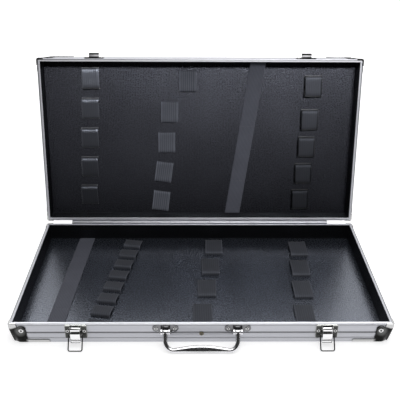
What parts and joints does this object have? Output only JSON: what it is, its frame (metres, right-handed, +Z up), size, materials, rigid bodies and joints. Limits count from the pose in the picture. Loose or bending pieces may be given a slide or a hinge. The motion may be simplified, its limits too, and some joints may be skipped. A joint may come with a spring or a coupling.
{
  "type": "tool case",
  "caption": "Slim aluminium-framed tool case, lid standing open, with hinged lid, draw latches, carry handle and elastic tool loops on a black lining.",
  "frame": {"origin": "centre of the base's underside, on the plane that the case stands on", "axes": "+X along the width to the right, +Y from the latches to the hinge, +Z up"},
  "size_m": [0.4634, 0.3364, 0.273],
  "materials": {
    "rail": "extruded, brushed along its length, natural anodised",
    "panel": "fine pebbled silver sheet",
    "board": "plain hardboard",
    "wall_lining": "thin black grained leathercloth",
    "floor_lining": "semi-gloss black leathercloth with a faint woven emboss",
    "lid_lining": "matt charcoal lining cloth with a fine grain",
    "webbing": "ribbed black elastic webbing",
    "protector": "polished nickel plate",
    "hinge": "plated steel strip",
    "eyelet": "bright brass",
    "wire": "bright nickel wire",
    "latch_and_handle": "bright nickel plate",
    "rivets_and_pins": "bright nickel plate"
  },
  "bodies": {
    "base": {"base_front_rail": "rail", "base_back_rail": "rail", "base_left_rail": "rail", "base_right_rail": "rail", "base_panel": "panel", "base_side_boards": "board", "base_wall_lining": "wall_lining", "base_floor_lining": "floor_lining", "base_corner_front_left": "protector", "base_corner_front_right": "protector", "base_corner_back_left": "protector", "base_corner_back_right": "protector", "base_corner_rivets": "rivets_and_pins", "base_strap": "webbing", "base_loops_left": "webbing", "base_loops_middle": "webbing", "base_loops_right": "webbing", "latch_plate_left": "latch_and_handle", "latch_plate_right": "latch_and_handle", "latch_plate_rivets": "rivets_and_pins", "lever_pins": "rivets_and_pins", "handle_bracket_left": "latch_and_handle", "handle_bracket_right": "latch_and_handle", "bracket_rivets": "rivets_and_pins", "handle_pins": "rivets_and_pins", "front_eyelet": "eyelet", "hinge_leaf_base": "hinge", "hinge_pin": "rivets_and_pins", "hinge_rivets_base": "rivets_and_pins"},
    "lid": {"lid_front_rail": "rail", "lid_back_rail": "rail", "lid_left_rail": "rail", "lid_right_rail": "rail", "lid_panel": "panel", "lid_side_boards": "board", "lid_wall_lining": "wall_lining", "lid_floor_lining": "lid_lining", "lid_corner_front_left": "protector", "lid_corner_front_right": "protector", "lid_corner_back_left": "protector", "lid_corner_back_right": "protector", "lid_corner_rivets": "rivets_and_pins", "keeper_left": "latch_and_handle", "keeper_right": "latch_and_handle", "keeper_rivets": "rivets_and_pins", "hinge_leaf_lid": "hinge", "hinge_rivets_lid": "rivets_and_pins", "lid_strap": "webbing", "lid_loops_left": "webbing", "lid_loops_middle": "webbing", "lid_loops_right": "webbing"},
    "handle": {"carry_handle": "latch_and_handle"},
    "lever_left": {"latch_lever_left": "latch_and_handle"},
    "lever_right": {"latch_lever_right": "latch_and_handle"},
    "bail_left": {"latch_bail_left": "wire"},
    "bail_right": {"latch_bail_right": "wire"}
  },
  "joints": [
    {"name": "lid_hinge", "type": "hinge", "parent": "base", "child": "lid", "pos_m": [0, 0.1228, 0.02815], "axis": [1, 0, 0], "range_deg": [0, 100.7]},
    {"name": "handle_swing", "type": "hinge", "parent": "base", "child": "handle", "pos_m": [0, -0.1252, 0.02], "axis": [-1, 0, 0], "range_deg": [-36, 140]},
    {"name": "lever_left_lift", "type": "hinge", "parent": "base", "child": "lever_left", "pos_m": [-0.15, -0.1244, 0.0236], "axis": [-1, 0, 0], "range_deg": [0, 120]},
    {"name": "lever_right_lift", "type": "hinge", "parent": "base", "child": "lever_right", "pos_m": [0.15, -0.1244, 0.0236], "axis": [-1, 0, 0], "range_deg": [0, 120]},
    {"name": "bail_left_swing", "type": "hinge", "parent": "lever_left", "child": "bail_left", "pos_m": [-0.15, -0.1244, 0.0154], "axis": [1, 0, 0], "range_deg": [-139, 40]},
    {"name": "bail_right_swing", "type": "hinge", "parent": "lever_right", "child": "bail_right", "pos_m": [0.15, -0.1244, 0.0154], "axis": [1, 0, 0], "range_deg": [-139, 40]}
  ]
}
